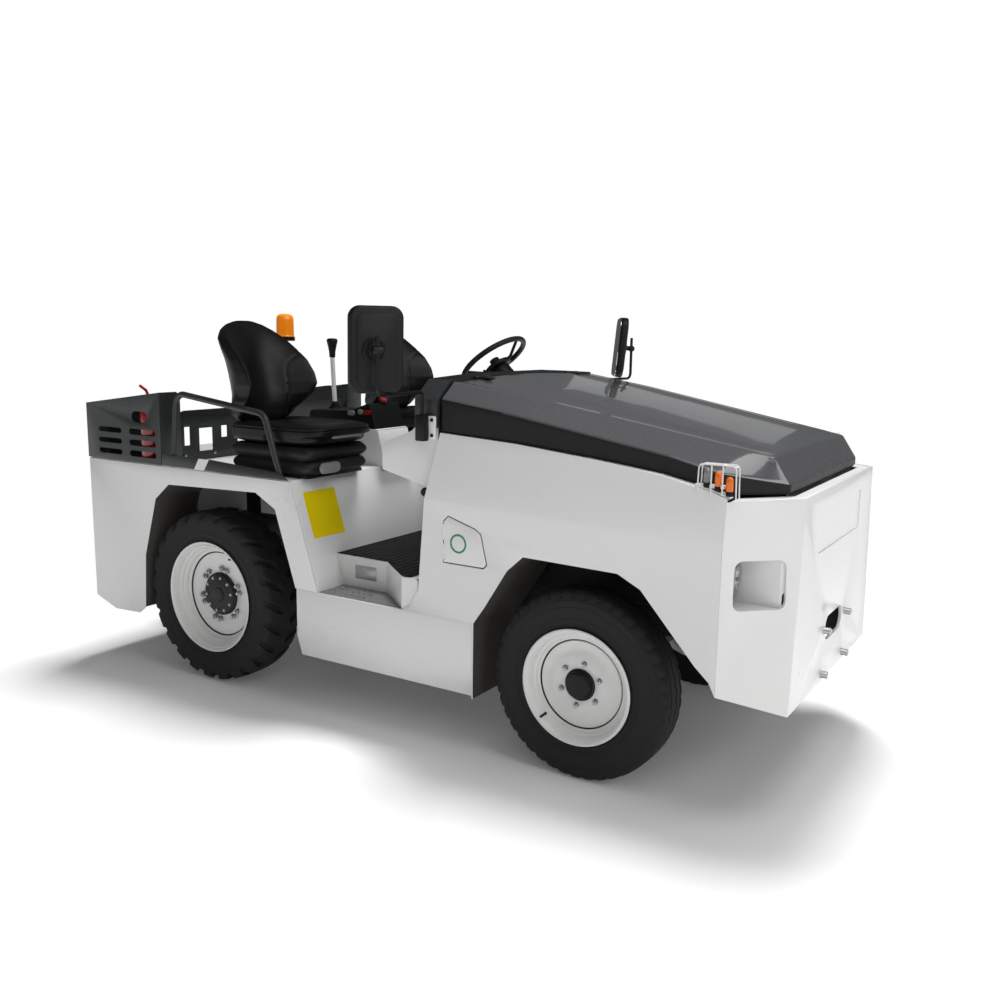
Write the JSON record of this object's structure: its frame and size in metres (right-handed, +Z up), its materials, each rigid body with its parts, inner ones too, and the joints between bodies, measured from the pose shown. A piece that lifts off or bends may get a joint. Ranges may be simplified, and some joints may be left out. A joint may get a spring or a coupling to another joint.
{
  "type": "airport baggage tug",
  "caption": "Electric airport baggage tug with an open two-seat cab, long tilting bonnet, rear load deck, steered front wheels and a stepped tow jaw.",
  "frame": {"origin": "on the ground under the centre of the whole tug's box", "axes": "+Z up, the nose points to -Y, the driver's (left) side is +X"},
  "size_m": [2.2998, 3.786, 1.795],
  "materials": {
    "white_paint": "semi-gloss",
    "bonnet_grey": "gloss",
    "grey_paint": "hammered",
    "black_paint": "satin",
    "bare_steel": "machined",
    "tyre_rubber": "matt",
    "black_vinyl": "vinyl",
    "bellows_plastic": "matt",
    "black_plastic": "matt",
    "lamp_glass": "clear",
    "amber_lens": "clear",
    "red_lens": "clear",
    "red_paint": "gloss"
  },
  "bodies": {
    "body": {"battery_pack": "black_paint", "beacon": "amber_lens", "cab_tub": "white_paint", "chassis_frame": "black_paint", "console": "black_plastic", "console_tunnel": "white_paint", "deck_trim_left": "grey_paint", "deck_trim_right": "grey_paint", "fire_extinguisher": "red_paint", "front_axle": "black_paint", "front_fender_left": "white_paint", "front_fender_right": "white_paint", "grab_rail_left": "grey_paint", "grab_rail_right": "grey_paint", "hand_lever": "white_paint", "headlamp_left": "lamp_glass", "headlamp_right": "lamp_glass", "indicator_left": "amber_lens", "indicator_right": "amber_lens", "mirror_left": "black_plastic", "mirror_right": "black_plastic", "nose_plate": "white_paint", "pedal_set": "black_plastic", "rear_axle": "black_paint", "rear_fender_left": "white_paint", "rear_fender_right": "white_paint", "rear_guard": "black_paint", "scuttle": "grey_paint", "seat_back_left": "black_vinyl", "seat_back_right": "black_vinyl", "seat_base_left": "bellows_plastic", "seat_base_right": "bellows_plastic", "seat_box": "white_paint", "seat_cushion_left": "black_vinyl", "seat_cushion_right": "black_vinyl", "steering_column": "black_plastic", "tail_box_left": "grey_paint", "tail_box_right": "grey_paint", "tail_lamp_left": "red_lens", "tail_lamp_right": "red_lens", "tail_plate": "white_paint", "tow_hitch": "black_paint"},
    "bonnet": {"bonnet": "bonnet_grey"},
    "charge_flap": {"charge_flap": "white_paint"},
    "hitch_pin": {"hitch_pin": "bare_steel"},
    "steering_wheel": {"steering_wheel": "black_plastic"},
    "knuckle_right": {"steering_knuckle_right": "bare_steel"},
    "knuckle_left": {"steering_knuckle_left": "bare_steel"},
    "front_wheel_right": {"front_tyre_right": "tyre_rubber", "front_rim_right": "white_paint"},
    "front_wheel_left": {"front_tyre_left": "tyre_rubber", "front_rim_left": "white_paint"},
    "rear_wheel_right": {"rear_tyre_right": "tyre_rubber", "rear_rim_right": "white_paint"},
    "rear_wheel_left": {"rear_tyre_left": "tyre_rubber", "rear_rim_left": "white_paint"}
  },
  "joints": [
    {"name": "bonnet_hinge", "type": "hinge", "parent": "body", "child": "bonnet", "pos_m": [0, -0.4475, 1.518], "axis": [-1, 0, 0], "range_deg": [0, 55]},
    {"name": "charge_flap_hinge", "type": "hinge", "parent": "body", "child": "charge_flap", "pos_m": [-0.75, -0.503, 0.794], "axis": [0, 0, -1], "range_deg": [0, 100]},
    {"name": "hitch_pin_lift", "type": "slide", "parent": "body", "child": "hitch_pin", "axis": [0, 0, 1], "range_m": [0, 0.2]},
    {"name": "steering_wheel_turn", "type": "hinge", "parent": "body", "child": "steering_wheel", "pos_m": [0.48, 0.054, 1.565], "axis": [0, 0.6157, 0.788], "continuous": true},
    {"name": "steer_right", "type": "hinge", "parent": "body", "child": "knuckle_right", "pos_m": [-0.5, -1.09, 0.375], "axis": [0, 0, 1], "range_deg": [-30, 30]},
    {"name": "steer_left", "type": "hinge", "parent": "body", "child": "knuckle_left", "pos_m": [0.5, -1.09, 0.375], "axis": [0, 0, 1], "range_deg": [-30, 30]},
    {"name": "front_wheel_right_spin", "type": "hinge", "parent": "knuckle_right", "child": "front_wheel_right", "pos_m": [-0.627, -1.09, 0.375], "axis": [1, 0, 0], "continuous": true},
    {"name": "front_wheel_left_spin", "type": "hinge", "parent": "knuckle_left", "child": "front_wheel_left", "pos_m": [0.627, -1.09, 0.375], "axis": [1, 0, 0], "continuous": true},
    {"name": "rear_wheel_right_spin", "type": "hinge", "parent": "body", "child": "rear_wheel_right", "pos_m": [-0.618, 0.91, 0.42], "axis": [1, 0, 0], "continuous": true},
    {"name": "rear_wheel_left_spin", "type": "hinge", "parent": "body", "child": "rear_wheel_left", "pos_m": [0.618, 0.91, 0.42], "axis": [1, 0, 0], "continuous": true}
  ],
  "couplings": [
    {"joint": "steer_left", "follows": "steer_right", "ratio": 1}
  ]
}
